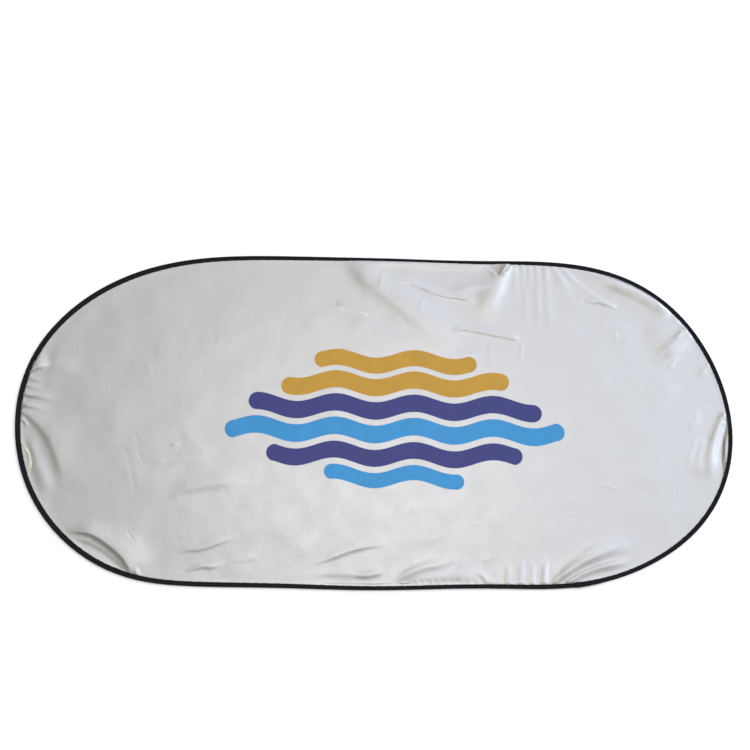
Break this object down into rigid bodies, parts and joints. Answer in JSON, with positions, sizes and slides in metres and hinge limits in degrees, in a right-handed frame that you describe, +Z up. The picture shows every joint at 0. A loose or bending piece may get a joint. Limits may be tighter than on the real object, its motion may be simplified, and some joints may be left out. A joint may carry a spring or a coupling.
{
  "type": "car window sunshade",
  "caption": "Flat rounded car window sunshade: silver-coated cloth on a spring-wire hoop in a sewn black binding, with a small elastic loop at each end.",
  "frame": {"origin": "on the surface the shade lies on, under the middle of its bounding box", "axes": "+X along the shade to the picture's right, +Y across it away from the camera, +Z up out of the printed face"},
  "size_m": [1.45, 0.7065, 0.0082],
  "materials": {
    "silver_cloth": "satin silver coating on a fine plain weave",
    "black_tape": "matt woven tape",
    "spring_steel": "drawn and tempered",
    "crimp_steel": "plated and crimped",
    "ivory_elastic": "ribbed flat elastic",
    "black_thread": "twisted polyester"
  },
  "bodies": {
    "root": {"shade_panel": "silver_cloth", "edge_binding": "black_tape", "spring_wire": "spring_steel", "wire_sleeve": "crimp_steel", "elastic_loop_left": "ivory_elastic", "elastic_loop_right": "ivory_elastic", "seam_thread_upper": "black_thread", "seam_thread_lower": "black_thread"}
  },
  "joints": []
}
